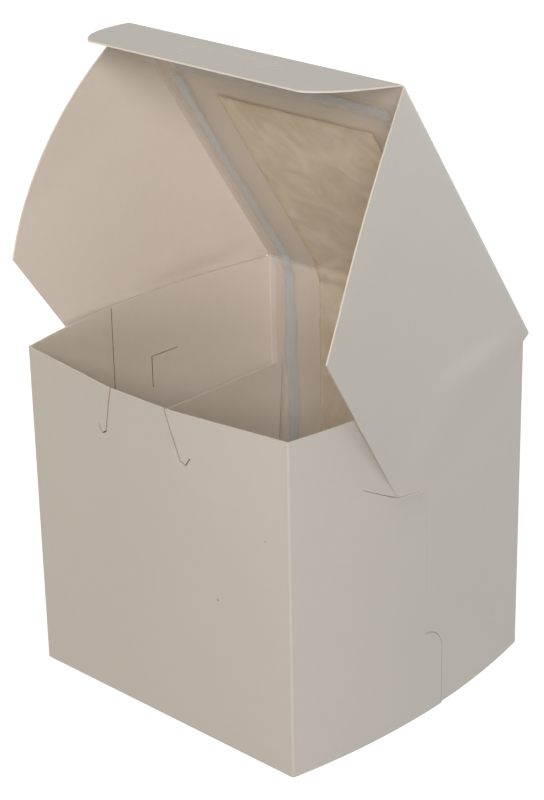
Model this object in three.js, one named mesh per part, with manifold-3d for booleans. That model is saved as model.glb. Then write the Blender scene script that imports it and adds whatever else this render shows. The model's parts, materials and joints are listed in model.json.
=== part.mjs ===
// A one-piece folding pastry carton with a film window in its lid and back wall.
// X runs along the front, Y from the front to the window wall and Z up, in millimetres.
// The origin is on the underside, at the middle of the floor.

import * as THREE from 'three';
import { mergeVertices } from 'three/addons/utils/BufferGeometryUtils.js';
import Module from 'manifold-3d';

const wasm = await Module();
wasm.setup();

// Carton: outside sizes, board and folds
const WIDTH = 101.6;
const DEPTH = 100.6;
const HEIGHT = 101.6;
const BOARD = 0.5;
const FOLD_RADIUS = 1;
const SLIT = 0.4;
const CLEARANCE = 0.3;
const GLUE_SEAT = 0.02;

// Front wings: the outer layer of the side walls, with a rounded foot and a V-shaped slit
const FRONT_WING_REACH = 50.3;
const FOOT_REACH = 7.5;
const FOOT_HEIGHT = 18.5;
const NOTCH_TIP_BACK = 24.8;
const NOTCH_TIP_HEIGHT = 80.4;
const NOTCH_APEX_BACK = 37.6;
const NOTCH_APEX_HEIGHT = 73.8;
const NOTCH_END_HEIGHT = 72.1;

// Back wings: the inner layer of the side walls, with a hooked slit
const BACK_WING_REACH = 64;
const HOOK_CORNER_AHEAD = 48.1;
const HOOK_CORNER_HEIGHT = 80.7;
const HOOK_DROP = 10.2;
const HOOK_RUN = 10.9;

// Floor wings: folded up from the floor inside the side walls, leaning inwards
const FLOOR_WING_HEIGHT = 67.7;
const FLOOR_WING_LEAN = 4.5;
const FLOOR_WING_END_GAP = 0.8;

// Front panel: the locking tongue between two hooked slits in the rim
const TONGUE_TOP_HALF = 10.4;
const TONGUE_ROOT_HALF = 14.6;
const TONGUE_DEPTH = 14.6;
const TONGUE_HOOK_HALF = 16.4;
const TONGUE_HOOK_DROP = 1;
const TONGUE_TURN_HALF = 18;
const TONGUE_TURN_RISE = 2.5;

// Lid: open by this angle, longer than the carton so that it closes over the front
const LID_OPEN_DEGREES = 56.6;
const LID_OVERHANG = 1;
const FLAP_DEPTH = 67.6;
const FLAP_FLARE_DEGREES = 6;
const FLAP_FOOT_LENGTH = 60.5;
const FLAP_CORNER_LENGTH = 8.1;
const FLAP_CORNER_HEIGHT = 8.9;
const FLAP_REAR_TAPER = 3.4;
const FLAP_FRONT_BOW = 4.9;

// Tuck flap on the lid's front edge, with a three-sided lock cut
const TUCK_DEPTH = 26.2;
const TUCK_FOLD_DEGREES = 51;
const TUCK_SIDE_GAP = 0.6;
const TUCK_NARROWING = 11.5;
const TUCK_SHOULDER_IN = 2.8;
const TUCK_SHOULDER_SHARE = 0.8;
const LOCK_FROM_FOLD = 8;
const LOCK_LENGTH = 10.4;
const LOCK_HALF_WIDTH = 15.5;
const LOCK_NARROWING = 2.5;

// Window: one opening cut through the lid, its fold and the back wall, with film behind it
const WINDOW_WIDTH = 57;
const WINDOW_SILL = 30;
const WINDOW_ON_LID = 76.5;
const WINDOW_CORNER = 1.5;
const FILM = 0.1;
const FILM_SIDE_MARGIN = 18.5;
const FILM_LOWER_MARGIN = 15;
const FILM_FRONT_MARGIN = 17.5;
const FILM_FOLD_GAP = 1.3;

// Sizes that follow from these
const halfWidth = WIDTH / 2;
const frontFace = -DEPTH / 2;
const backFace = DEPTH / 2;
const innerLayerHalf = halfWidth - BOARD + GLUE_SEAT;
const floorHalf = halfWidth - 2 * BOARD - CLEARANCE;
const lidLength = DEPTH + LID_OVERHANG;
const lidUnderside = CLEARANCE;
const lidTop = CLEARANCE + BOARD;
const flapFoldHalf = halfWidth + CLEARANCE + BOARD;
const flapFlare = (FLAP_DEPTH + lidTop) * Math.tan(THREE.MathUtils.degToRad(FLAP_FLARE_DEGREES));
const tuckHalf = flapFoldHalf - BOARD - TUCK_SIDE_GAP;
const filmHalf = WINDOW_WIDTH / 2 + FILM_SIDE_MARGIN;

// Drawing planes: the plan, a side view pushed along X, and a front view pushed along -Y
const X = new THREE.Vector3(1, 0, 0);
const Y = new THREE.Vector3(0, 1, 0);
const Z = new THREE.Vector3(0, 0, 1);
const PLAN = new THREE.Matrix4();
const SIDE_VIEW = new THREE.Matrix4().makeBasis(Y, Z, X);
const FRONT_VIEW = new THREE.Matrix4().makeBasis(X, Z, Y.clone().negate());

// Solids and geometries

function toSolid(geometry) {
  geometry.deleteAttribute('normal');
  geometry.deleteAttribute('uv');
  const merged = mergeVertices(geometry, 1e-4);
  const mesh = new wasm.Mesh({
    numProp: 3,
    vertProperties: Float32Array.from(merged.attributes.position.array),
    triVerts: Uint32Array.from(merged.index.array),
  });
  return new wasm.Manifold(mesh);
}

function toGeometry(solid) {
  const mesh = solid.getMesh();
  const geometry = new THREE.BufferGeometry();
  geometry.setAttribute('position', new THREE.BufferAttribute(mesh.vertProperties, 3));
  geometry.setIndex(new THREE.BufferAttribute(mesh.triVerts, 1));
  geometry.computeVertexNormals();
  return geometry;
}

// A shape drawn in a view and pushed from one distance to another along its third axis
function plate(shape, view, from, to) {
  const settings = { depth: to - from, bevelEnabled: false, curveSegments: 10 };
  const geometry = new THREE.ExtrudeGeometry(shape, settings);
  geometry.translate(0, 0, from);
  geometry.applyMatrix4(view);
  return toSolid(geometry);
}

// Paths in a view

// The path moved sideways to its left, with its corners kept sharp
function offsetPath(path, distance) {
  const lefts = [];
  for (let i = 1; i < path.length; i += 1) {
    const along = path[i].clone().sub(path[i - 1]).normalize();
    lefts.push(new THREE.Vector2(-along.y, along.x));
  }
  return path.map((point, i) => {
    const before = lefts[Math.max(i - 1, 0)];
    const after = lefts[Math.min(i, lefts.length - 1)];
    const middle = before.clone().add(after).normalize();
    const reach = distance / middle.dot(after);
    return point.clone().addScaledVector(middle, reach);
  });
}

function drawRounded(shape, path, radius) {
  for (let i = 1; i < path.length - 1; i += 1) {
    const corner = path[i];
    const toBefore = path[i - 1].clone().sub(corner).setLength(radius);
    const toAfter = path[i + 1].clone().sub(corner).setLength(radius);
    const start = corner.clone().add(toBefore);
    const end = corner.clone().add(toAfter);
    shape.lineTo(start.x, start.y);
    shape.quadraticCurveTo(corner.x, corner.y, end.x, end.y);
  }
  const last = path[path.length - 1];
  shape.lineTo(last.x, last.y);
}

// The section of a board that follows a path of its outer face and is folded at the corners
function foldedSection(outerPath) {
  const innerPath = offsetPath(outerPath, BOARD).reverse();
  const shape = new THREE.Shape();
  shape.moveTo(outerPath[0].x, outerPath[0].y);
  drawRounded(shape, outerPath, FOLD_RADIUS);
  shape.lineTo(innerPath[0].x, innerPath[0].y);
  drawRounded(shape, innerPath, FOLD_RADIUS - BOARD);
  return shape;
}

function points(...pairs) {
  return pairs.map(([x, y]) => new THREE.Vector2(x, y));
}

// The narrow gap that a knife line leaves along a path
function slitShape(path) {
  const left = offsetPath(path, SLIT / 2);
  const right = offsetPath(path, -SLIT / 2).reverse();
  return new THREE.Shape([...left, ...right]);
}

function rectangle(left, bottom, right, top) {
  return new THREE.Shape(points([left, bottom], [right, bottom], [right, top], [left, top]));
}

// The window as one rounded opening that runs past the fold at its near end
function windowShape(half, foldEnd, farEnd) {
  const towardsFold = Math.sign(foldEnd - farEnd);
  const shape = new THREE.Shape();
  shape.moveTo(-half, foldEnd);
  shape.lineTo(-half, farEnd + towardsFold * WINDOW_CORNER);
  shape.quadraticCurveTo(-half, farEnd, -half + WINDOW_CORNER, farEnd);
  shape.lineTo(half - WINDOW_CORNER, farEnd);
  shape.quadraticCurveTo(half, farEnd, half, farEnd + towardsFold * WINDOW_CORNER);
  shape.lineTo(half, foldEnd);
  return shape;
}

// Carton body: front panel with its two wings

function frontAndWings() {
  const wingEnd = frontFace + FRONT_WING_REACH;
  const footEnd = wingEnd + FOOT_REACH;
  const outline = points(
    [-halfWidth, footEnd],
    [-halfWidth, frontFace],
    [halfWidth, frontFace],
    [halfWidth, footEnd],
  );
  const folded = plate(foldedSection(outline), PLAN, 0, HEIGHT);

  const past = HEIGHT + FOLD_RADIUS;
  const aboveFoot = new THREE.Shape();
  aboveFoot.moveTo(wingEnd, past);
  aboveFoot.lineTo(wingEnd, FOOT_HEIGHT + FOOT_REACH);
  aboveFoot.absarc(wingEnd, FOOT_HEIGHT, FOOT_REACH, Math.PI / 2, 0, true);
  aboveFoot.lineTo(footEnd + FOLD_RADIUS, FOOT_HEIGHT);
  aboveFoot.lineTo(footEnd + FOLD_RADIUS, past);

  const notch = slitShape(points(
    [frontFace + NOTCH_TIP_BACK, NOTCH_TIP_HEIGHT],
    [frontFace + NOTCH_APEX_BACK, NOTCH_APEX_HEIGHT],
    [wingEnd + SLIT, NOTCH_END_HEIGHT],
  ));

  let sheet = folded;
  for (const cut of [aboveFoot, notch]) {
    sheet = sheet.subtract(plate(cut, SIDE_VIEW, -halfWidth - BOARD, halfWidth + BOARD));
  }
  for (const side of [-1, 1]) {
    const tongueSide = slitShape(points(
      [side * TONGUE_TOP_HALF, HEIGHT + SLIT],
      [side * TONGUE_ROOT_HALF, HEIGHT - TONGUE_DEPTH],
      [side * TONGUE_HOOK_HALF, HEIGHT - TONGUE_DEPTH - TONGUE_HOOK_DROP],
      [side * TONGUE_TURN_HALF, HEIGHT - TONGUE_DEPTH + TONGUE_TURN_RISE - TONGUE_HOOK_DROP],
    ));
    sheet = sheet.subtract(plate(tongueSide, FRONT_VIEW, -frontFace - 2 * BOARD, -frontFace + BOARD));
  }
  return sheet;
}

// Carton body: back panel with its two wings and the window

function backAndWings() {
  const wingEnd = backFace - BACK_WING_REACH;
  const outline = points(
    [innerLayerHalf, wingEnd],
    [innerLayerHalf, backFace],
    [-innerLayerHalf, backFace],
    [-innerLayerHalf, wingEnd],
  );
  const folded = plate(foldedSection(outline), PLAN, 0, HEIGHT);

  const hookCorner = backFace - HOOK_CORNER_AHEAD;
  const hook = slitShape(points(
    [hookCorner, HOOK_CORNER_HEIGHT - HOOK_DROP],
    [hookCorner, HOOK_CORNER_HEIGHT],
    [hookCorner + HOOK_RUN, HOOK_CORNER_HEIGHT],
  ));
  const opening = windowShape(WINDOW_WIDTH / 2, HEIGHT + FOLD_RADIUS, WINDOW_SILL);
  return folded
    .subtract(plate(hook, SIDE_VIEW, -halfWidth - BOARD, halfWidth + BOARD))
    .subtract(plate(opening, FRONT_VIEW, -backFace - BOARD, -backFace + 2 * BOARD));
}

// Carton body: floor with the two wings that stand inside the side walls

function floorAndWings() {
  const topHalf = floorHalf - FLOOR_WING_LEAN;
  const outline = points(
    [-topHalf, FLOOR_WING_HEIGHT],
    [-floorHalf, 0],
    [floorHalf, 0],
    [topHalf, FLOOR_WING_HEIGHT],
  );
  const folded = plate(foldedSection(outline), FRONT_VIEW, frontFace, backFace);
  const wingEnd = backFace - BOARD - FLOOR_WING_END_GAP;
  let sheet = folded;
  for (const side of [-1, 1]) {
    const ends = [side * wingEnd, side * (backFace + BOARD)].sort((a, b) => a - b);
    const beyond = rectangle(ends[0], BOARD, ends[1], HEIGHT);
    sheet = sheet.subtract(plate(beyond, SIDE_VIEW, -halfWidth, halfWidth));
  }
  return sheet;
}

// Lid: top panel and the two side flaps that hang outside the walls, in the closed position

function lidSheet() {
  const outline = points(
    [flapFoldHalf + flapFlare, -FLAP_DEPTH],
    [flapFoldHalf, lidTop],
    [-flapFoldHalf, lidTop],
    [-flapFoldHalf - flapFlare, -FLAP_DEPTH],
  );
  const folded = plate(foldedSection(outline), FRONT_VIEW, 0, lidLength);

  const footRear = FLAP_REAR_TAPER + FLAP_CORNER_LENGTH;
  const footFront = footRear + FLAP_FOOT_LENGTH;
  const middle = new THREE.Vector2((lidLength + footFront) / 2, -FLAP_DEPTH / 2);
  const chord = new THREE.Vector2(footFront - lidLength, -FLAP_DEPTH).normalize();
  const bulge = middle.addScaledVector(new THREE.Vector2(-chord.y, chord.x), 2 * FLAP_FRONT_BOW);
  const sideOutline = new THREE.Shape();
  sideOutline.moveTo(0, lidTop + BOARD);
  sideOutline.lineTo(0, 0);
  sideOutline.lineTo(-FLAP_REAR_TAPER, -FLAP_DEPTH + FLAP_CORNER_HEIGHT);
  sideOutline.lineTo(-footRear, -FLAP_DEPTH);
  sideOutline.lineTo(-footFront, -FLAP_DEPTH);
  sideOutline.quadraticCurveTo(-bulge.x, bulge.y, -lidLength, 0);
  sideOutline.lineTo(-lidLength, lidTop + BOARD);
  const reach = flapFoldHalf + flapFlare + BOARD;
  const opening = windowShape(WINDOW_WIDTH / 2, FOLD_RADIUS, -WINDOW_ON_LID);
  return folded
    .intersect(plate(sideOutline, SIDE_VIEW, -reach, reach))
    .subtract(plate(opening, PLAN, -BOARD, lidTop + BOARD));
}

// Tuck flap: it runs forward from its fold, drawn flat with the lid

function tuckFlap() {
  const endHalf = tuckHalf - TUCK_NARROWING;
  const shoulderHalf = tuckHalf - TUCK_SHOULDER_IN;
  const shoulder = -TUCK_DEPTH * TUCK_SHOULDER_SHARE;
  const outline = new THREE.Shape();
  outline.moveTo(-tuckHalf, -CLEARANCE);
  outline.quadraticCurveTo(-shoulderHalf, shoulder, -endHalf, -TUCK_DEPTH);
  outline.lineTo(endHalf, -TUCK_DEPTH);
  outline.quadraticCurveTo(shoulderHalf, shoulder, tuckHalf, -CLEARANCE);
  const lockEndHalf = LOCK_HALF_WIDTH - LOCK_NARROWING;
  const lock = slitShape(points(
    [-lockEndHalf, -LOCK_FROM_FOLD - LOCK_LENGTH],
    [-LOCK_HALF_WIDTH, -LOCK_FROM_FOLD],
    [LOCK_HALF_WIDTH, -LOCK_FROM_FOLD],
    [lockEndHalf, -LOCK_FROM_FOLD - LOCK_LENGTH],
  ));
  return plate(outline, PLAN, 0, BOARD).subtract(plate(lock, PLAN, -BOARD, 2 * BOARD));
}

// Window film, in two stretches that meet at the lid's fold

function filmOnBack() {
  const inside = backFace - BOARD - CLEARANCE;
  const shape = rectangle(-filmHalf, WINDOW_SILL - FILM_LOWER_MARGIN, filmHalf, HEIGHT - FILM_FOLD_GAP);
  return plate(shape, FRONT_VIEW, -inside, -inside + FILM);
}

function filmOnLid() {
  const shape = rectangle(-filmHalf, -WINDOW_ON_LID - FILM_FRONT_MARGIN, filmHalf, -FILM_FOLD_GAP);
  return plate(shape, PLAN, lidUnderside - CLEARANCE - FILM, lidUnderside - CLEARANCE);
}

// Materials and nodes

function boardFinish(colour) {
  return new THREE.MeshStandardMaterial({ color: colour, roughness: 0.62, metalness: 0 });
}

function filmFinish() {
  return new THREE.MeshStandardMaterial({
    color: 0xaa9e82,
    roughness: 0.18,
    metalness: 0,
    transparent: true,
    opacity: 0.45,
  });
}

function node(name, solid, material) {
  const mesh = new THREE.Mesh(toGeometry(solid), material);
  mesh.name = name;
  return mesh;
}

const carton = new THREE.Group();

const bodySolid = frontAndWings().add(backAndWings()).add(floorAndWings());
carton.add(node('carton_body', bodySolid, boardFinish(0xc1beb2)));
carton.add(node('window_film_back', filmOnBack(), filmFinish()));

const lidGroup = new THREE.Group();
lidGroup.position.set(0, backFace, HEIGHT);
lidGroup.rotation.x = -THREE.MathUtils.degToRad(LID_OPEN_DEGREES);
lidGroup.add(node('lid', lidSheet(), boardFinish(0xc5c1be)));
lidGroup.add(node('window_film_lid', filmOnLid(), filmFinish()));

const tuckGroup = new THREE.Group();
tuckGroup.position.set(0, -lidLength, lidUnderside);
tuckGroup.rotation.x = THREE.MathUtils.degToRad(TUCK_FOLD_DEGREES);
tuckGroup.add(node('tuck_flap', tuckFlap(), boardFinish(0xbbb8b0)));
lidGroup.add(tuckGroup);
carton.add(lidGroup);

export default carton;
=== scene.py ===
import json
import math

import bmesh
import bpy
import numpy as np
from mathutils import Matrix, Vector


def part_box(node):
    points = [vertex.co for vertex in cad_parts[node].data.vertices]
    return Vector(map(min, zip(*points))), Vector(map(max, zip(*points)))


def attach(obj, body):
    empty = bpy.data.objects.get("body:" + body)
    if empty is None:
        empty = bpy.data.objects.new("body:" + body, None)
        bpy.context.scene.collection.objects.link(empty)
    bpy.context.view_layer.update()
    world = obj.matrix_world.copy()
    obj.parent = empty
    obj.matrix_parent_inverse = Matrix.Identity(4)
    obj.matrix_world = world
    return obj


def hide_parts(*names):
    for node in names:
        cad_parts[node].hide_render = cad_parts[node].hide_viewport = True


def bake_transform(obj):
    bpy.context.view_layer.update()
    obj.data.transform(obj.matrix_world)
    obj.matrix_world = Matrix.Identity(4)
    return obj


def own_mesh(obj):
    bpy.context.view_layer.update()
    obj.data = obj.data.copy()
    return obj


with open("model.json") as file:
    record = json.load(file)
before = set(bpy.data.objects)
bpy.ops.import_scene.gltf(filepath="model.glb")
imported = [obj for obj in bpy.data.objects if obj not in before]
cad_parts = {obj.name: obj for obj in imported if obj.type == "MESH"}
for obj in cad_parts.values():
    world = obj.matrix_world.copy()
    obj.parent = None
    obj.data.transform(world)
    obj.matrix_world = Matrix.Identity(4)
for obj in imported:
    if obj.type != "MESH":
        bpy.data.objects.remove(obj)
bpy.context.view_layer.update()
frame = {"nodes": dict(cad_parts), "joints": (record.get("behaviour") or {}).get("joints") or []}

MM = 0.001

# Camera
# It stands where the photograph was taken from: in front, to the right and above the rim,
# leaning a degree to one side. A long lens keeps the carton's upright edges nearly parallel.

CAMERA_PLACE = Vector((415.6, -438.5, 346.8)) * MM
CAMERA_AZIMUTH = math.radians(43.64)
CAMERA_ELEVATION = math.radians(23.61)
CAMERA_ROLL = math.radians(-1.15)
CAMERA_LENS = 102.3

towards_camera = Vector((
    math.sin(CAMERA_AZIMUTH) * math.cos(CAMERA_ELEVATION),
    -math.cos(CAMERA_AZIMUTH) * math.cos(CAMERA_ELEVATION),
    math.sin(CAMERA_ELEVATION),
))
level_right = Vector((math.cos(CAMERA_AZIMUTH), math.sin(CAMERA_AZIMUTH), 0))
level_up = towards_camera.cross(level_right)
camera_right = level_right * math.cos(CAMERA_ROLL) + level_up * math.sin(CAMERA_ROLL)
camera_up = towards_camera.cross(camera_right)
camera_data = bpy.data.cameras.new("camera")
camera_data.lens = CAMERA_LENS
camera_data.clip_end = 20
camera = bpy.data.objects.new("camera", camera_data)
camera.matrix_world = Matrix.Translation(CAMERA_PLACE) @ Matrix(
    (camera_right, camera_up, towards_camera)
).transposed().to_4x4()
bpy.context.collection.objects.link(camera)
bpy.context.scene.camera = camera
bpy.context.scene.view_settings.view_transform = "Standard"

# Studio
# A white sweep that shows white to the camera and keeps the carton's faint contact shadow,
# lit mostly from beside the camera, so that light reaches the carton's inside and the lid's
# underside. Softer lamps stand at both sides and behind; the one on the left is warm.


def srgb(code):
    """Linear red, green, blue and alpha of an sRGB hex colour."""
    parts = [int(code[i:i + 2], 16) / 255 for i in (1, 3, 5)]
    return [p / 12.92 if p <= 0.04045 else ((p + 0.055) / 1.055) ** 2.4 for p in parts] + [1]


def add_node(tree, kind, inputs=(), **settings):
    """Adds one shader node. Inputs map a socket's name or number to a value or to another socket."""
    made = tree.nodes.new(kind)
    for name, value in settings.items():
        setattr(made, name, value)
    for socket, value in dict(inputs).items():
        if isinstance(value, bpy.types.NodeSocket):
            tree.links.new(value, made.inputs[socket])
        else:
            made.inputs[socket].default_value = value
    return made


def new_material(name):
    """An empty node material and its tree, with an output node called output."""
    material = bpy.data.materials.new(name)
    material.use_nodes = True
    material.node_tree.nodes.clear()
    output = material.node_tree.nodes.new("ShaderNodeOutputMaterial")
    return material, material.node_tree, output


def seen_directly(tree):
    """1 for a ray that starts at the camera, also by way of gloss or film, and 0 for other rays."""
    path = add_node(tree, "ShaderNodeLightPath")
    seen = add_node(tree, "ShaderNodeMath", {0: path.outputs["Is Camera Ray"],
                                             1: path.outputs["Is Glossy Ray"]}, operation="MAXIMUM")
    return add_node(tree, "ShaderNodeMath", {0: seen.outputs[0], 1: path.outputs["Is Transmission Ray"]},
                    operation="MAXIMUM").outputs[0]


def floor_material():
    """White paper sweep: most of its white is its own to the camera, so shadows on it stay faint."""
    material, tree, output = new_material("white_paper_sweep")
    own = add_node(tree, "ShaderNodeMath", {0: seen_directly(tree), 1: FLOOR_OWN_WHITE},
                   operation="MULTIPLY")
    glow = add_node(tree, "ShaderNodeEmission", {"Color": srgb("#ffffff"), "Strength": own.outputs[0]})
    paper = add_node(tree, "ShaderNodeBsdfDiffuse", {"Color": srgb("#8c8c8c")})
    both = add_node(tree, "ShaderNodeAddShader", {0: glow.outputs[0], 1: paper.outputs[0]})
    tree.links.new(both.outputs[0], output.inputs["Surface"])
    return material


def area_lamp(name, place, target, size, watts, colour):
    """A square soft lamp at a place, turned to face a target."""
    data = bpy.data.lights.new(name, "AREA")
    data.size = size
    data.energy = watts
    data.color = srgb(colour)[:3]
    lamp = bpy.data.objects.new(name, data)
    lamp.location = place
    lamp.rotation_euler = (Vector(target) - Vector(place)).to_track_quat("-Z", "Y").to_euler()
    bpy.context.collection.objects.link(lamp)


FLOOR_SIZE = 12
FLOOR_OWN_WHITE = 0.86
floor_mesh = bpy.data.meshes.new("floor")
half = FLOOR_SIZE / 2
floor_mesh.from_pydata([(-half, -half, 0), (half, -half, 0), (half, half, 0), (-half, half, 0)], [],
                       [(0, 1, 2, 3)])
floor = bpy.data.objects.new("floor", floor_mesh)
floor.data.materials.append(floor_material())
bpy.context.collection.objects.link(floor)

world = bpy.data.worlds.new("studio")
world.use_nodes = True
world.node_tree.nodes.clear()
sky = add_node(world.node_tree, "ShaderNodeBackground", {"Color": srgb("#f4f2f0"), "Strength": 0.28})
seen_sky = add_node(world.node_tree, "ShaderNodeBackground", {"Color": srgb("#ffffff"), "Strength": 1.0})
sky_mix = add_node(world.node_tree, "ShaderNodeMixShader",
                   {0: seen_directly(world.node_tree), 1: sky.outputs[0], 2: seen_sky.outputs[0]})
add_node(world.node_tree, "ShaderNodeOutputWorld", {"Surface": sky_mix.outputs[0]})
bpy.context.scene.world = world

OBJECT_MIDDLE = (0, 0, 0.07)
area_lamp("front_lamp", (0.98, -1.12, 0.86), OBJECT_MIDDLE, 0.45, 16, "#fffcfa")
area_lamp("low_lamp", (0.95, -1.15, 0.12), OBJECT_MIDDLE, 0.5, 6, "#fffaf6")
area_lamp("left_lamp", (-0.6, -0.9, 0.6), OBJECT_MIDDLE, 0.8, 2.8, "#ffe9b8")
area_lamp("right_lamp", (1.5, 0.4, 1.0), OBJECT_MIDDLE, 1.2, 5, "#f4f4ff")
area_lamp("far_left_lamp", (-1.5, 0.0, 0.5), OBJECT_MIDDLE, 0.6, 8, "#ffffff")
area_lamp("back_lamp", (0.3, 1.65, 0.55), OBJECT_MIDDLE, 0.6, 12.5, "#ffffff")

# Board
# White-lined carton board, half a millimetre thick. The outside is clay coated, smooth and
# faintly mottled; the inside is the plain warm back of the sheet; a cut edge shows pale fibre.
# Some copies carry painted shade: darker inner cut edges and slit edges, and a dark line along
# the side walls' seams that stands for the shadow there.

BOARD = 0.5
FIBRE_CLOUD = 3.0
WIDE_CLOUD = 42.0
CLOUD_CONTRAST = 0.15
FIBRE_FINE = 0.35
GRAIN_STRENGTH = 0.35
FLECK_SPACING = 9.0
FLECK_SIZE = 0.12
FLECK_COLOUR = "#6f675a"
FOOT_SQUARE = 18.5
FOOT_REACH = 7.5
# Painted shadow: a thin dark line on the side walls' outside, along the front wing's edge and foot, for the
# shadow in the gap there.
SEAM_SHADOW_WIDTH = 0.2
FOOT_SEAM_SHADOW = 0.6
EDGE_SEAM_SHADOW = 0.06
SPECK_DARK = 0.5
SPECKS = ((24.7, 47.0, 0.3), (42.6, 70.7, 0.2))


def painted_seam_shadow_share(tree, place):
    """How much painted shadow a point of a side wall gets along the wing's glued edge, from its y and z: a
    dark line that stands for the shadow in the gap at that edge.

    The edge is the line y = 0 and, below it, a foot with a quarter-round top: there the distance
    is the length of (y, height above the foot's square part), less the foot's reach."""
    axes = add_node(tree, "ShaderNodeSeparateXYZ", {0: place})
    above = add_node(tree, "ShaderNodeMath", {0: axes.outputs["Z"], 1: FOOT_SQUARE * MM},
                     operation="SUBTRACT")
    above = add_node(tree, "ShaderNodeMath", {0: above.outputs[0], 1: 0.0}, operation="MAXIMUM")
    corner = add_node(tree, "ShaderNodeCombineXYZ", {"X": axes.outputs["Y"], "Y": above.outputs[0]})
    reach = add_node(tree, "ShaderNodeVectorMath", {0: corner.outputs[0]}, operation="LENGTH")
    foot = add_node(tree, "ShaderNodeMath", {0: reach.outputs["Value"], 1: FOOT_REACH * MM,
                                             2: SEAM_SHADOW_WIDTH * MM}, operation="COMPARE")
    behind = add_node(tree, "ShaderNodeMath", {0: axes.outputs["Y"], 1: 0.0}, operation="GREATER_THAN")
    foot = add_node(tree, "ShaderNodeMath", {0: foot.outputs[0], 1: behind.outputs[0]}, operation="MULTIPLY")
    edge = add_node(tree, "ShaderNodeMath", {0: axes.outputs["Y"], 1: 0.0, 2: SEAM_SHADOW_WIDTH * MM},
                    operation="COMPARE")
    over_foot = add_node(tree, "ShaderNodeMath", {0: axes.outputs["Z"], 1: (FOOT_SQUARE + FOOT_REACH) * MM},
                         operation="GREATER_THAN")
    edge = add_node(tree, "ShaderNodeMath", {0: edge.outputs[0], 1: over_foot.outputs[0]},
                    operation="MULTIPLY")
    foot = add_node(tree, "ShaderNodeMath", {0: foot.outputs[0], 1: FOOT_SEAM_SHADOW}, operation="MULTIPLY")
    edge = add_node(tree, "ShaderNodeMath", {0: edge.outputs[0], 1: EDGE_SEAM_SHADOW}, operation="MULTIPLY")
    return add_node(tree, "ShaderNodeMath", {0: foot.outputs[0], 1: edge.outputs[0]},
                    operation="ADD").outputs[0]


def speck_share(tree, place):
    """How dark a point of the front panel is from its two specks: each is a spot of x, z and radius."""
    axes = add_node(tree, "ShaderNodeSeparateXYZ", {0: place})
    flat = add_node(tree, "ShaderNodeCombineXYZ", {"X": axes.outputs["X"], "Z": axes.outputs["Z"]})
    share = 0.0
    for x, z, radius in SPECKS:
        away = add_node(tree, "ShaderNodeVectorMath", {0: flat.outputs[0], 1: (x * MM, 0, z * MM)},
                        operation="DISTANCE")
        spot = add_node(tree, "ShaderNodeMapRange", {"Value": away.outputs["Value"],
                                                     "From Min": radius * MM, "From Max": 2 * radius * MM,
                                                     "To Min": SPECK_DARK, "To Max": 0.0})
        share = add_node(tree, "ShaderNodeMath", {0: spot.outputs[0], 1: share},
                         operation="MAXIMUM").outputs[0]
    return share


def board_material(name, pale, dark, roughness, fibre_height, fleck_strength=0.35, marks=None):
    """Coated or plain board: clouds of fibre in two shades, rare dark flecks and a fine raised grain.

    Noise runs on Object coordinates, with cells as wide as the clouds and fibres named above. marks
    is a function that adds the darker lines or spots of one panel."""
    material, tree, output = new_material(name)
    place = add_node(tree, "ShaderNodeTexCoord")
    clouds = add_node(tree, "ShaderNodeTexNoise", {"Vector": place.outputs["Object"],
                                                   "Scale": 1 / (FIBRE_CLOUD * MM), "Detail": 6.0,
                                                   "Roughness": 0.6})
    wide = add_node(tree, "ShaderNodeTexNoise", {"Vector": place.outputs["Object"],
                                                 "Scale": 1 / (WIDE_CLOUD * MM), "Detail": 2.0})
    grain = add_node(tree, "ShaderNodeTexNoise", {"Vector": place.outputs["Object"],
                                                  "Scale": 1 / (FIBRE_FINE * MM), "Detail": 3.0})
    blend = add_node(tree, "ShaderNodeMath", {0: clouds.outputs["Fac"], 1: wide.outputs["Fac"]},
                     operation="ADD")
    blend = add_node(tree, "ShaderNodeMath", {0: blend.outputs[0], 1: 0.5}, operation="MULTIPLY")
    shade = add_node(tree, "ShaderNodeMapRange", {"Value": blend.outputs[0],
                                                  "From Min": 0.5 - CLOUD_CONTRAST,
                                                  "From Max": 0.5 + CLOUD_CONTRAST})
    colour = add_node(tree, "ShaderNodeMix", {"Factor": shade.outputs[0], 6: srgb(dark), 7: srgb(pale)},
                      data_type="RGBA")
    cells = add_node(tree, "ShaderNodeTexVoronoi", {"Vector": place.outputs["Object"],
                                                    "Scale": 1 / (FLECK_SPACING * MM)})
    fleck = add_node(tree, "ShaderNodeMapRange", {"Value": cells.outputs["Distance"],
                                                  "From Min": 0.0, "From Max": FLECK_SIZE / FLECK_SPACING,
                                                  "To Min": fleck_strength, "To Max": 0.0})
    if marks:
        fleck = add_node(tree, "ShaderNodeMath", {0: fleck.outputs[0],
                                                  1: marks(tree, place.outputs["Object"])},
                         operation="MAXIMUM")
    spotted = add_node(tree, "ShaderNodeMix", {"Factor": fleck.outputs[0], 6: colour.outputs[2],
                                               7: srgb(FLECK_COLOUR)}, data_type="RGBA")
    height = add_node(tree, "ShaderNodeMath", {0: grain.outputs["Fac"], 1: clouds.outputs["Fac"]},
                      operation="ADD")
    bump = add_node(tree, "ShaderNodeBump", {"Height": height.outputs[0], "Strength": GRAIN_STRENGTH,
                                             "Distance": fibre_height * MM})
    surface = add_node(tree, "ShaderNodeBsdfPrincipled", {"Base Color": spotted.outputs[2],
                                                          "Roughness": roughness, "IOR": 1.45,
                                                          "Specular IOR Level": 0.25,
                                                          "Normal": bump.outputs["Normal"]})
    tree.links.new(surface.outputs[0], output.inputs["Surface"])
    return material


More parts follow.
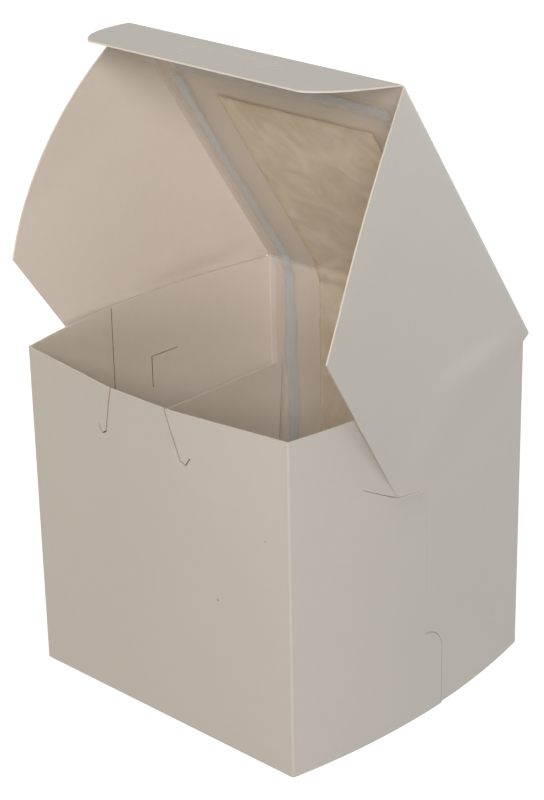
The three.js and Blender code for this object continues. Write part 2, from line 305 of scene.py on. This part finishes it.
coated_board = board_material("clay_coated_board", "#c0bcb5", "#bebab2", 0.5, 0.02)
plain_board = board_material("plain_board_back", "#d9cfc5", "#d6ccc1", 0.75, 0.03, 0.2)
cut_board = board_material("cut_board_edge", "#dcd6ca", "#d4cdc0", 0.85, 0.05, 0.0)
# Painted shade: a darker colour for cut edges that sit in shadow against the layer they lie on.
shade_painted_edge_board = board_material("cut_edge_with_painted_shade", "#9c8c7e", "#928274", 0.7, 0.03, 0.0)
slit_edge = board_material("shaded_slit_edge", "#b5a999", "#aca090", 0.7, 0.03, 0.0)
# Painted shadow: this copy of the coated board carries the dark line that stands for the shadow along the
# wing's edge.
seam_shadow_board = board_material("clay_coated_board_with_painted_seam_shadow", "#c0bcb5", "#bebab2", 0.5, 0.02,
                              marks=painted_seam_shadow_share)
specked_board = board_material("clay_coated_board_with_specks", "#c0bcb5", "#bebab2", 0.5, 0.02,
                               marks=speck_share)
BOARD_FINISHES = (coated_board, plain_board, cut_board, shade_painted_edge_board, slit_edge, seam_shadow_board, specked_board)
OUTSIDE, INSIDE, CUT, SHADE_PAINTED_EDGE, IN_SLIT, SEAM_SHADOW_PAINTED, SPECKED = range(7)

# Carton body
# The folded and glued sheet below the lid: floor, front panel, window wall and the wings that
# make the side walls. It is the carried solid cut into a fine grid, so that its walls can bow.

GRID_STEP = 3.0
WELD = 0.002
SLIVER = 0.08
FLAT_ANGLE = math.radians(0.5)
SHARP_ANGLE = math.radians(32)


def cut_at(mesh, axis, place):
    """Cuts a bmesh by the plane that stands across an axis at a place."""
    normal = Vector([1.0 if i == axis else 0.0 for i in range(3)])
    geometry = mesh.verts[:] + mesh.edges[:] + mesh.faces[:]
    bmesh.ops.bisect_plane(mesh, geom=geometry, plane_co=normal * place, plane_no=normal)


def cut_fine(node, to_flat=Matrix.Identity(4)):
    """A copy of a carried solid, merged, laid flat by a matrix and cut by planes GRID_STEP apart.

    The result is in millimetres, as a bmesh whose faces all lie within one cell of the grid."""
    source = frame["nodes"][node].data
    mesh = bmesh.new()
    mesh.from_mesh(source)
    bmesh.ops.transform(mesh, matrix=to_flat, verts=mesh.verts)
    bmesh.ops.scale(mesh, vec=(1 / MM,) * 3, verts=mesh.verts)
    bmesh.ops.remove_doubles(mesh, verts=mesh.verts, dist=WELD)
    bmesh.ops.dissolve_limit(mesh, angle_limit=FLAT_ANGLE, verts=mesh.verts, edges=mesh.edges)
    for axis in range(3):
        values = [v.co[axis] for v in mesh.verts]
        low, high = min(values), max(values)
        for place in np.arange(math.ceil(low / GRID_STEP) * GRID_STEP, high, GRID_STEP):
            cut_at(mesh, axis, place)
    bmesh.ops.remove_doubles(mesh, verts=mesh.verts, dist=SLIVER)
    mesh.normal_update()
    return mesh


def smooth(share):
    """Eases a share from 0 to 1 with no slope at either end."""
    share = np.clip(share, 0, 1)
    return share * share * (3 - 2 * share)


def faces_of(mesh):
    """The middles and the normals of a bmesh's faces, as two arrays."""
    middles = np.array([face.calc_center_median() for face in mesh.faces])
    return middles, np.array([face.normal for face in mesh.faces])


def finish_piece(mesh, name, bend, finish, keep=None, to_place=Matrix.Identity(4)):
    """Makes an object from the kept faces of a bmesh, gives each its finish and bends its points.

    keep and finish take arrays of face middles and normals; bend takes and returns the points."""
    part = mesh.copy()
    if keep is not None:
        kept = keep(*faces_of(part))
        part.faces.ensure_lookup_table()
        dropped = [part.faces[i] for i in np.flatnonzero(~kept)]
        bmesh.ops.delete(part, geom=dropped, context="FACES")
    middles, normals = faces_of(part)
    data = bpy.data.meshes.new(name)
    part.to_mesh(data)
    part.free()
    for material in BOARD_FINISHES:
        data.materials.append(material)
    data.polygons.foreach_set("material_index", finish(middles, normals).astype(np.int32))
    data.polygons.foreach_set("use_smooth", np.ones(len(data.polygons), bool))
    points = np.empty(len(data.vertices) * 3)
    data.vertices.foreach_get("co", points)
    bent = bend(points.reshape(-1, 3)) * MM
    data.vertices.foreach_set("co", bent.astype(np.float32).ravel())
    data.transform(to_place)
    tidy = bmesh.new()
    tidy.from_mesh(data)
    bmesh.ops.triangulate(tidy, faces=tidy.faces)
    tidy.normal_update()
    for edge in tidy.edges:
        sides = edge.link_faces
        edge.smooth = (len(sides) == 2 and sides[0].material_index == sides[1].material_index
                       and edge.calc_face_angle(0) < SHARP_ANGLE)
    tidy.to_mesh(data)
    tidy.free()
    made = bpy.data.objects.new(name, data)
    bpy.context.collection.objects.link(made)
    return made


_, body_high = [np.array(corner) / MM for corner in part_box("carton_body")]
HALF_WIDTH = body_high[0]
HALF_DEPTH = body_high[1]
RIM = body_high[2]
NEAR = 0.05
FOLD_RADIUS = 1.0
WALL_BOW = 5.3
FRONT_BOW = 5.4
FRONT_BOW_POWER = 1.4
KINK_STARTS = 0.5
KINK_RISE = 0.4
TONGUE_HALF = 12.0
LIP_PROUD = 0.8
LIP_LENGTH = 5.0
LIP_RISE = 12.0
LIP_FALL = 3.0
UNDER_WING_LIFT = 0.42
UNDER_WING_LENGTH = 48.0
UNDER_WING_RISE = 24.0
FOOT_MIDDLE = 14.0
HOOK_SLIT_AT = 2.2
HOOK_SLIT_FOOT = 70.0
HOOK_SLIT_TOP = 80.4
HOOK_SLIT_REACH = 0.25
NOTCH_SLIT_WIDTH = 0.4
NOTCH_SLIT_CLOSED = 0.28
NOTCH = np.array([[-25.5, 80.4], [-12.7, 73.8], [0.0, 72.1]])


def wall_bow(y):
    """How far a side wall stands out at y: a parabola from fold to fold, WALL_BOW at its middle."""
    end = HALF_DEPTH - FOLD_RADIUS
    return WALL_BOW * np.clip(1 - (y / end) ** 2, 0, None)


def bend_side_wall(points):
    """Bows a side wall outwards and lifts the lip below the notch that holds the lid's flap.

    The lip stands LIP_PROUD out and falls off as e to the power of minus the depth below the notch
    over LIP_LENGTH. Behind the outer wing's glued rear edge, above its foot, the wing below rises
    nearly flush. The hooked slit closes on the outside, and the notch's front arm to a hairline."""
    side = np.sign(points[:, 0])
    out = wall_bow(points[:, 1])
    below = np.interp(points[:, 1], NOTCH[:, 0], NOTCH[:, 1]) - points[:, 2]
    along = smooth((points[:, 1] - NOTCH[0, 0]) / LIP_RISE) * smooth(-points[:, 1] / LIP_FALL)
    outer = np.abs(points[:, 0]) > HALF_WIDTH - BOARD - 0.01
    lip = LIP_PROUD * np.exp(-np.clip(below, 0, None) / LIP_LENGTH) * along * outer * (below > -2 * NEAR)
    outer_of_under = (np.abs(np.abs(points[:, 0]) - (HALF_WIDTH - BOARD)) < 2 * NEAR) & (
        points[:, 1] > -2 * NEAR)
    behind_wing = smooth(1 - points[:, 1] / UNDER_WING_LENGTH) * outer_of_under
    lift = UNDER_WING_LIFT * behind_wing * smooth((points[:, 2] - FOOT_MIDDLE) / UNDER_WING_RISE)
    on_hook = outer_of_under & (np.abs(points[:, 1] - HOOK_SLIT_AT) < HOOK_SLIT_REACH) & (
        points[:, 2] > HOOK_SLIT_FOOT) & (points[:, 2] < HOOK_SLIT_TOP)
    over_notch = outer & (below < -NEAR) & (below > -NOTCH_SLIT_WIDTH) & (
        points[:, 1] < NOTCH[1, 0]) & (points[:, 1] > NOTCH[0, 0])
    bent = points.copy()
    bent[:, 0] += side * (out + lip + lift)
    bent[:, 1] = np.where(on_hook, HOOK_SLIT_AT, bent[:, 1])
    bent[:, 2] -= NOTCH_SLIT_CLOSED * over_notch
    return bent


def bend_front(points):
    """Bows the front panel towards its rim: straight from each fold to the tongue's slits at the
    rim, a soft parabola lower down, and nothing at the floor, where the fold holds it straight."""
    end = HALF_WIDTH - FOLD_RADIUS
    across = np.abs(points[:, 0])
    kinked = np.clip((end - across) / (end - TONGUE_HALF), 0, 1)
    round_bow = np.clip(1 - (across / end) ** 2, 0, None)
    near_rim = smooth((points[:, 2] / RIM - KINK_STARTS) / KINK_RISE)
    shape = kinked * near_rim + round_bow * (1 - near_rim)
    bent = points.copy()
    bent[:, 1] -= FRONT_BOW * shape * np.clip(points[:, 2] / RIM, 0, 1) ** FRONT_BOW_POWER
    return bent


def bend_nothing(points):
    """Leaves the points where they are."""
    return points


def on_wall(middles):
    """Which faces belong to a side wall between its two upright folds."""
    return (np.abs(middles[:, 0]) > HALF_WIDTH - 2 * BOARD - NEAR) & (
        np.abs(middles[:, 1]) < HALF_DEPTH - FOLD_RADIUS)


def outer_layer(middles, normals):
    """Which faces of a side wall belong to the front wing, glued outside the back wing."""
    inwards = normals[:, 0] * np.sign(middles[:, 0]) < -0.5
    past_seam = np.abs(middles[:, 0]) - (HALF_WIDTH - BOARD)
    return (past_seam > 2 * NEAR) | ((past_seam > -2 * NEAR) & inwards)


def on_front(middles):
    """Which faces belong to the front panel between its folds and above the floor."""
    return (middles[:, 1] < -HALF_DEPTH + BOARD + NEAR) & (
        np.abs(middles[:, 0]) < HALF_WIDTH - FOLD_RADIUS) & (middles[:, 2] > BOARD)


def wall_finish(middles, normals):
    """Outside, inside or cut edge of a side wall, by the way its faces look.

    The inner layer's upright cut edges get a darker colour, painted shade for the shadow along them, and the
    outside gets the painted seam shadow."""
    outwards = normals[:, 0] * np.sign(middles[:, 0])
    inner_layer = np.abs(middles[:, 0]) < HALF_WIDTH - BOARD
    # Painted shade: upright cut edges of the inner layer take the darker edge colour.
    edge = np.where(inner_layer & (np.abs(normals[:, 2]) < 0.9), SHADE_PAINTED_EDGE, CUT)
    # Painted shadow: outer faces take the board with the dark line along the wing's edge.
    return np.where(outwards > 0.5, SEAM_SHADOW_PAINTED, np.where(outwards < -0.5, INSIDE, edge))


def front_finish(middles, normals):
    """Outside, inside or cut edge of the front panel. In the tongue's slits the edges are in the dark."""
    edge = np.where(middles[:, 2] < RIM - 0.3, IN_SLIT, CUT)
    return np.where(normals[:, 1] < -0.5, SPECKED, np.where(normals[:, 1] > 0.5, INSIDE, edge))


def rest_finish(middles, normals):
    """Outside, inside or cut edge of the folds, window wall, floor and the wings on the floor."""
    out = np.sum(normals[:, :2] * middles[:, :2], axis=1) / np.linalg.norm(middles[:, :2], axis=1)
    upright = np.abs(normals[:, 2]) < 0.5
    inner_wing = (np.abs(middles[:, 0]) < HALF_WIDTH - 2 * BOARD - NEAR) & (
        np.abs(middles[:, 1]) < HALF_DEPTH - BOARD - NEAR)
    upwards = np.where(inner_wing | (middles[:, 2] < 2 * BOARD), INSIDE, CUT)
    flat = np.where(normals[:, 2] < 0, OUTSIDE, upwards)
    facing = np.where(out > 0, OUTSIDE, INSIDE)
    wing_edge = inner_wing & (np.abs(normals[:, 1]) > 0.9) & (middles[:, 2] > BOARD)
    window_edge = (np.abs(normals[:, 0]) > 0.9) & (middles[:, 1] > HALF_DEPTH - BOARD - NEAR) & (
        np.abs(middles[:, 0]) < HALF_WIDTH - 3 * BOARD)
    # Painted shade: the floor wings' upright cut edges take the darker edge colour for their shadow.
    facing = np.where(wing_edge, SHADE_PAINTED_EDGE, np.where(window_edge, CUT, facing))
    return np.where(upright, facing, flat)


body_mesh = cut_fine("carton_body")
for panel_end in (-HALF_WIDTH + FOLD_RADIUS, HALF_WIDTH - FOLD_RADIUS):
    cut_at(body_mesh, 0, panel_end)
for panel_end in (-HALF_DEPTH + FOLD_RADIUS, HALF_DEPTH - FOLD_RADIUS):
    cut_at(body_mesh, 1, panel_end)
cut_at(body_mesh, 2, BOARD)

pieces = {
    "carton_floor_and_window_wall": (lambda m, n: ~on_wall(m) & ~on_front(m), bend_nothing, rest_finish),
    "carton_front_panel": (lambda m, n: on_front(m), bend_front, front_finish),
}
for name, side, outer in (("carton_right_front_wing", 1, True), ("carton_right_back_wing", 1, False),
                          ("carton_left_front_wing", -1, True), ("carton_left_back_wing", -1, False)):
    pieces[name] = (
        lambda m, n, side=side, outer=outer: (on_wall(m) & (m[:, 0] * side > 0)
                                              & (outer_layer(m, n) == outer)),
        bend_side_wall, wall_finish)
carton = {}
for name, (keep, bend, finish) in pieces.items():
    piece = finish_piece(body_mesh, name, bend, finish, keep)
    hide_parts("carton_body")
    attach(piece, "root")
    carton[name] = piece
body_mesh.free()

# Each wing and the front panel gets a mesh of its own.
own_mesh(carton["carton_right_front_wing"])
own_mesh(carton["carton_left_front_wing"])
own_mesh(carton["carton_right_back_wing"])
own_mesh(carton["carton_left_back_wing"])
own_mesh(carton["carton_front_panel"])

# Lid and its side flaps
# The top panel with the window cut, folded down at both sides into flaps that hang outside
# the walls. The flaps are pushed out by the bowed walls and stand widest at their front tips.

joints = {joint["name"]: joint for joint in frame["joints"]}
HINGE = Vector(joints["lid_hinge"]["pos_m"])
LID_OPEN = math.radians(-joints["lid_hinge"]["range_deg"][0])
FLAP_DEPTH = 67.6
FLAP_CAD_FLARE = math.tan(math.radians(6))
FLAP_GAP = 0.3
FLAP_TIP_AT = 72.0
FLAP_FORWARD_MOST = 1.1
FLAP_REAR_OUT = 3.5
FLAP_TIP_OUT = 8.9
FLAP_REAR_TAPER = 3.4
FLAP_REAR_PRESSED = 0.55
PRESSED_WIDTH = 16.0
MEETS_WALL_OVER = 12.0
LEAVES_FOLD_OVER = 6.0
LID_TOP = 0.799
FLAP_BEGINS = 0.3
FLAP_BEGINS_OVER = 0.9
lid_place = Matrix.Translation(HINGE) @ Matrix.Rotation(-LID_OPEN, 4, "X")


def flap_out(along, down):
    """How far a flap stands out: it leaves its fold steeply and eases to upright at its foot.

    Free of the wall this is its reach times 1 minus a power of the share left to its foot, between
    square at the front and cube at the rear. Over the wall it lies on the wall's bow, with its rear
    edge pressed nearly flush. along is the distance from the lid's hinge and down the distance
    below the lid's outer face, in millimetres."""
    share = np.clip(down / FLAP_DEPTH, 0, 1)
    forward = np.clip(along / FLAP_TIP_AT, 0, FLAP_FORWARD_MOST)
    power = 3 - np.clip(forward, 0, 1)
    reach = FLAP_REAR_OUT + (FLAP_TIP_OUT - FLAP_REAR_OUT) * forward
    free = reach * (1 - (1 - share) ** power)
    y = HALF_DEPTH - along * math.cos(LID_OPEN) - down * math.sin(LID_OPEN)
    z = RIM + along * math.sin(LID_OPEN) - down * math.cos(LID_OPEN)
    over_wall = smooth((RIM + MEETS_WALL_OVER - z) / MEETS_WALL_OVER) * smooth(down / LEAVES_FOLD_OVER)
    rear_edge = FLAP_REAR_TAPER * share
    pressed = FLAP_REAR_PRESSED * smooth(1 - (along - rear_edge) / PRESSED_WIDTH)
    pressed *= smooth(down / LEAVES_FOLD_OVER)
    return np.maximum(free, wall_bow(y) * over_wall) - pressed * over_wall


def bend_lid(points):
    """Moves the flaps from the solid's plain slope to flap_out. The top panel stays flat."""
    bent = points.copy()
    side = np.sign(points[:, 0])
    down = LID_TOP - points[:, 2]
    on_flap = smooth((down - FLAP_BEGINS) / FLAP_BEGINS_OVER)
    along = -points[:, 1]
    plain = down * FLAP_CAD_FLARE
    bent[:, 0] += side * on_flap * (flap_out(along, down) - plain)
    return bent


def lid_finish(middles, normals):
    """Outside, inside or cut edge of the lid: its top panel looks up, its flaps sideways."""
    top = middles[:, 2] > -0.5
    outwards = np.where(top & (np.abs(middles[:, 0]) < HALF_WIDTH - 0.5), normals[:, 2],
                        normals[:, 0] * np.sign(middles[:, 0]) + np.where(top, normals[:, 2], 0))
    return np.where(outwards > 0.3, OUTSIDE, np.where(outwards < -0.3, INSIDE, CUT))


lid_mesh = cut_fine("lid", lid_place.inverted())
lid = finish_piece(lid_mesh, "lid_with_side_flaps", bend_lid, lid_finish, to_place=lid_place)
lid_mesh.free()
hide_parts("lid")
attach(lid, "lid")

# Tuck flap
# The flap on the lid's front edge, with rounded shoulders and a three-sided lock cut. Its
# board curls a little towards the free edge, where the knife has left it.

TUCK_AXIS = Vector(joints["tuck_flap_hinge"]["pos_m"])
TUCK_FOLD = math.radians(-joints["tuck_flap_hinge"]["range_deg"][0])
TUCK_CURL = 0.5
TUCK_GAP = 0.31
TUCK_GAP_CLOSED = 0.2
TUCK_DEPTH = 26.2
tuck_place = Matrix.Translation(TUCK_AXIS) @ Matrix.Rotation(TUCK_FOLD - LID_OPEN, 4, "X")


def bend_tuck(points):
    """Curls the flap down as the square of the distance from its fold, and closes the fold gap."""
    bent = points.copy()
    along = np.clip(-points[:, 1], 0, None)
    bent[:, 2] -= TUCK_CURL * (along / TUCK_DEPTH) ** 2
    bent[:, 1] += np.where(along < TUCK_GAP, TUCK_GAP_CLOSED, 0)
    return bent


def tuck_finish(middles, normals):
    """Outside, inside or cut edge of the tuck flap."""
    return np.where(normals[:, 2] > 0.5, OUTSIDE, np.where(normals[:, 2] < -0.5, INSIDE, CUT))


tuck_mesh = cut_fine("tuck_flap", tuck_place.inverted())
tuck = finish_piece(tuck_mesh, "tuck_flap_board", bend_tuck, tuck_finish, to_place=tuck_place)
tuck_mesh.free()
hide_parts("tuck_flap")
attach(tuck, "tuck_flap")

# Fold beads
# The crushed board at the two folds that open and close: a thin round bead along the fold
# line. The lid's is in two stretches, one on each side of the window.


def bead(name, start, end, radius, body):
    """A round bar from start to end: a circle of that radius carried along the line, ends closed."""
    sides = 16
    start, end = np.array(start, float), np.array(end, float)
    turn = np.linspace(0, 2 * math.pi, sides, endpoint=False)
    circle = np.stack([np.zeros(sides), np.cos(turn), np.sin(turn)], axis=1) * radius
    points = np.concatenate([start + circle, end + circle]) * MM
    faces = [(i, (i + 1) % sides, sides + (i + 1) % sides, sides + i) for i in range(sides)]
    faces += [tuple(range(sides))[::-1], tuple(range(sides, 2 * sides))]
    data = bpy.data.meshes.new(name)
    data.from_pydata(points.tolist(), [], faces)
    tidy = bmesh.new()
    tidy.from_mesh(data)
    bmesh.ops.recalc_face_normals(tidy, faces=tidy.faces)
    tidy.to_mesh(data)
    tidy.free()
    data.polygons.foreach_set("use_smooth", np.ones(len(data.polygons), bool))
    data.set_sharp_from_angle(angle=math.radians(50))
    data.materials.append(coated_board)
    made = bpy.data.objects.new(name, data)
    bpy.context.collection.objects.link(made)
    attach(made, body)
    return made


BEAD_RADIUS = 0.42
WINDOW_HALF = 28.5
TUCK_HALF = 50.2
lid_fold = np.array([0, HALF_DEPTH - 0.15, RIM + 0.1])
for side, name in ((-1, "lid_fold_left"), (1, "lid_fold_right")):
    ends = [lid_fold + [side * x, 0, 0] for x in (WINDOW_HALF, HALF_WIDTH - 0.1)]
    bead(name, *sorted(ends, key=lambda p: p[0]), BEAD_RADIUS, "root")
tuck_fold = lid_place @ Vector((0, -(HALF_DEPTH * 2 + 1.0) * MM, (FLAP_GAP + BOARD / 2) * MM)) / MM
bead("tuck_fold", tuck_fold - Vector((TUCK_HALF, 0, 0)), tuck_fold + Vector((TUCK_HALF, 0, 0)),
     BOARD / 2 + 0.03, "lid")

# Window film
# One patch of thin clear film, glued inside the lid and the window wall and carried over the
# fold between them. Its glue shows as blue-grey bands, and the film is slack and wrinkled.

FILM_HALF = 47.0
FILM_FRONT = 94.0
FILM_DOWN = 86.0
FILM_STEP = 0.8
FILM_INSIDE = 0.22
FILM_OFF_BOARD = 0.02
RIPPLE = 0.10
FINE_RIPPLE = 0.07
SLACK = 0.9
FOLD_ROUND = 2.2
WINDOW_ON_LID = 76.5
WINDOW_SILL = 30.0
WINDOW_NEAR_EDGE = 0.9
WINDOW_FAR_EDGE = 2.6
GLUE_WIDTH = 2.3
GLUE_FRONT_AT = 90.0
GLUE_SIDE_ON_LID = 41.7
GLUE_SIDE_ON_BACK = 40.5
WINDOW_OPACITY = 0.97
ON_BOARD_OPACITY = 0.1
GLUE_OPACITY = 0.5
HAZE_SCALE = 75.0


def soft_step(value, width):
    """0 below minus width, 1 above width, eased between."""
    return smooth((value + width) / (2 * width))


def film_surface():
    """The film's points, faces and its glue and window shares, on a grid of x and length along.

    Length runs from the film's front end on the lid, over a rounded fold, down the window wall. The
    film stands off the board by two crossed sine ripples and a slack that is a parabola across the
    window. The glue follows the film's sides and front end in wandering bands."""
    across = np.arange(-FILM_HALF, FILM_HALF + 0.01, FILM_STEP)
    length = np.arange(-FILM_FRONT, FILM_DOWN + 0.01, FILM_STEP)
    x, s = np.meshgrid(across, length)
    on_lid = 1 - soft_step(s, FOLD_ROUND)
    lid_dir = np.array([-math.cos(LID_OPEN), math.sin(LID_OPEN)])
    lid_in = np.array([-math.sin(LID_OPEN), -math.cos(LID_OPEN)])
    back_dir = np.array([0.0, -1.0])
    back_in = np.array([-1.0, 0.0])
    corner = np.array([HALF_DEPTH - BOARD - FILM_INSIDE, RIM])
    ripple = RIPPLE * np.sin(x / 5.3 + 1.7 * np.sin(s / 9.1)) * np.sin(s / 7.7 + 1.3 * np.sin(x / 11))
    ripple += FINE_RIPPLE * np.sin(x / 2.9 + s / 4.1) * np.sin(s / 13 + 0.6)
    slack = np.clip(1 - (x / (WINDOW_HALF + 3)) ** 2, 0, 1) * SLACK
    rounded = FOLD_ROUND * 0.55 * np.exp(-(s / FOLD_ROUND) ** 2)
    lift = np.clip(ripple + RIPPLE + FINE_RIPPLE, FILM_OFF_BOARD, None)
    lift += slack * (0.35 + 0.25 * np.sin(s / 12))
    lid_part = lid_dir[:, None, None] * np.clip(-s, 0, None) + lid_in[:, None, None] * lift * on_lid
    back_part = back_dir[:, None, None] * np.clip(s, 0, None) + back_in[:, None, None] * lift * (1 - on_lid)
    inward = (lid_in + back_in) / np.linalg.norm(lid_in + back_in)
    yz = corner[:, None, None] + lid_part + back_part + inward[:, None, None] * rounded
    points = np.stack([x, yz[0], yz[1]], axis=-1).reshape(-1, 3)
    rows, columns = x.shape
    index = np.arange(rows * columns).reshape(rows, columns)
    faces = np.stack([index[:-1, :-1], index[:-1, 1:], index[1:, 1:], index[1:, :-1]], axis=-1)
    side_at = GLUE_SIDE_ON_BACK + (GLUE_SIDE_ON_LID - GLUE_SIDE_ON_BACK) * smooth((10 - s) / 20)
    wander = 0.5 * np.sin(s / 11) + 0.3 * np.sin(s / 4.3)
    side_glue = 1 - soft_step(np.abs(np.abs(x) - side_at - wander) - GLUE_WIDTH, 1.1)
    front_glue = 1 - soft_step(np.abs(-s - GLUE_FRONT_AT + 0.0008 * x ** 2) - GLUE_WIDTH, 1.2)
    front_glue *= 1 - soft_step(np.abs(x) - GLUE_SIDE_ON_LID, 1.5)
    side_glue *= soft_step(s + WINDOW_ON_LID + 8, 2)
    glue = np.maximum(side_glue, front_glue)
    near_edge = WINDOW_NEAR_EDGE * (1 - 0.5 * smooth((s + 4) / 8))
    open_half = np.where(x < 0, WINDOW_HALF - near_edge + x, WINDOW_HALF + WINDOW_FAR_EDGE - x)
    open_end = np.where(s < 0, WINDOW_ON_LID + WINDOW_FAR_EDGE + s, RIM - WINDOW_SILL - s)
    window = soft_step(np.minimum(open_half, open_end), 0.4)
    return points, faces.reshape(-1, 4), glue.ravel(), window.ravel()


def film_material():
    """Clear polypropylene film: glossy and hazed by its wrinkles where it spans the window, with lighter
    noise blotches in its colour that are painted highlights of those wrinkles, almost unseen where it lies
    glued on board, and blue-grey over the bands of glue."""
    material, tree, output = new_material("clear_window_film")
    place = add_node(tree, "ShaderNodeTexCoord")
    glue = add_node(tree, "ShaderNodeAttribute", attribute_name="glue")
    window = add_node(tree, "ShaderNodeAttribute", attribute_name="window")
    haze = add_node(tree, "ShaderNodeTexNoise", {"Vector": place.outputs["Object"], "Scale": HAZE_SCALE,
                                                 "Detail": 3.0, "Roughness": 0.5, "Distortion": 1.5})
    shade = add_node(tree, "ShaderNodeMapRange", {"Value": haze.outputs["Fac"], "From Min": 0.35,
                                                  "From Max": 0.68})
    # Painted highlights: the noise lightens the film's tan colour in blotches that stand for glints on its
    # wrinkles.
    tint_with_painted_highlights = add_node(tree, "ShaderNodeMix", {"Factor": shade.outputs[0], 6: srgb("#c7b89e"),
                                            7: srgb("#d9ccb6")}, data_type="RGBA")
    colour = add_node(tree, "ShaderNodeMix", {"Factor": glue.outputs["Fac"], 6: tint_with_painted_highlights.outputs[2],
                                              7: srgb("#d2dbe0")}, data_type="RGBA")
    veil = add_node(tree, "ShaderNodeMapRange", {"Value": window.outputs["Fac"],
                                                 "To Min": ON_BOARD_OPACITY, "To Max": WINDOW_OPACITY})
    opacity = add_node(tree, "ShaderNodeMapRange", {"Value": glue.outputs["Fac"],
                                                    "To Min": veil.outputs[0],
                                                    "To Max": GLUE_OPACITY})
    bump = add_node(tree, "ShaderNodeBump", {"Height": haze.outputs["Fac"], "Strength": 0.4,
                                             "Distance": 0.0006})
    surface = add_node(tree, "ShaderNodeBsdfPrincipled", {"Base Color": colour.outputs[2],
                                                          "Roughness": 0.4, "IOR": 1.3,
                                                          "Alpha": opacity.outputs[0],
                                                          "Normal": bump.outputs["Normal"]})
    tree.links.new(surface.outputs[0], output.inputs["Surface"])
    return material


film_points, film_faces, film_glue, film_window = film_surface()
film_data = bpy.data.meshes.new("window_film")
film_data.from_pydata((film_points * MM).tolist(), [], film_faces.tolist())
for name, values in (("glue", film_glue), ("window", film_window)):
    attribute = film_data.attributes.new(name, "FLOAT", "POINT")
    attribute.data.foreach_set("value", values.astype(np.float32))
film_data.polygons.foreach_set("use_smooth", np.ones(len(film_data.polygons), bool))
film_data.materials.append(film_material())
film = bpy.data.objects.new("window_film", film_data)
bpy.context.collection.objects.link(film)
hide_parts("window_film_back", "window_film_lid")
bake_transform(film)
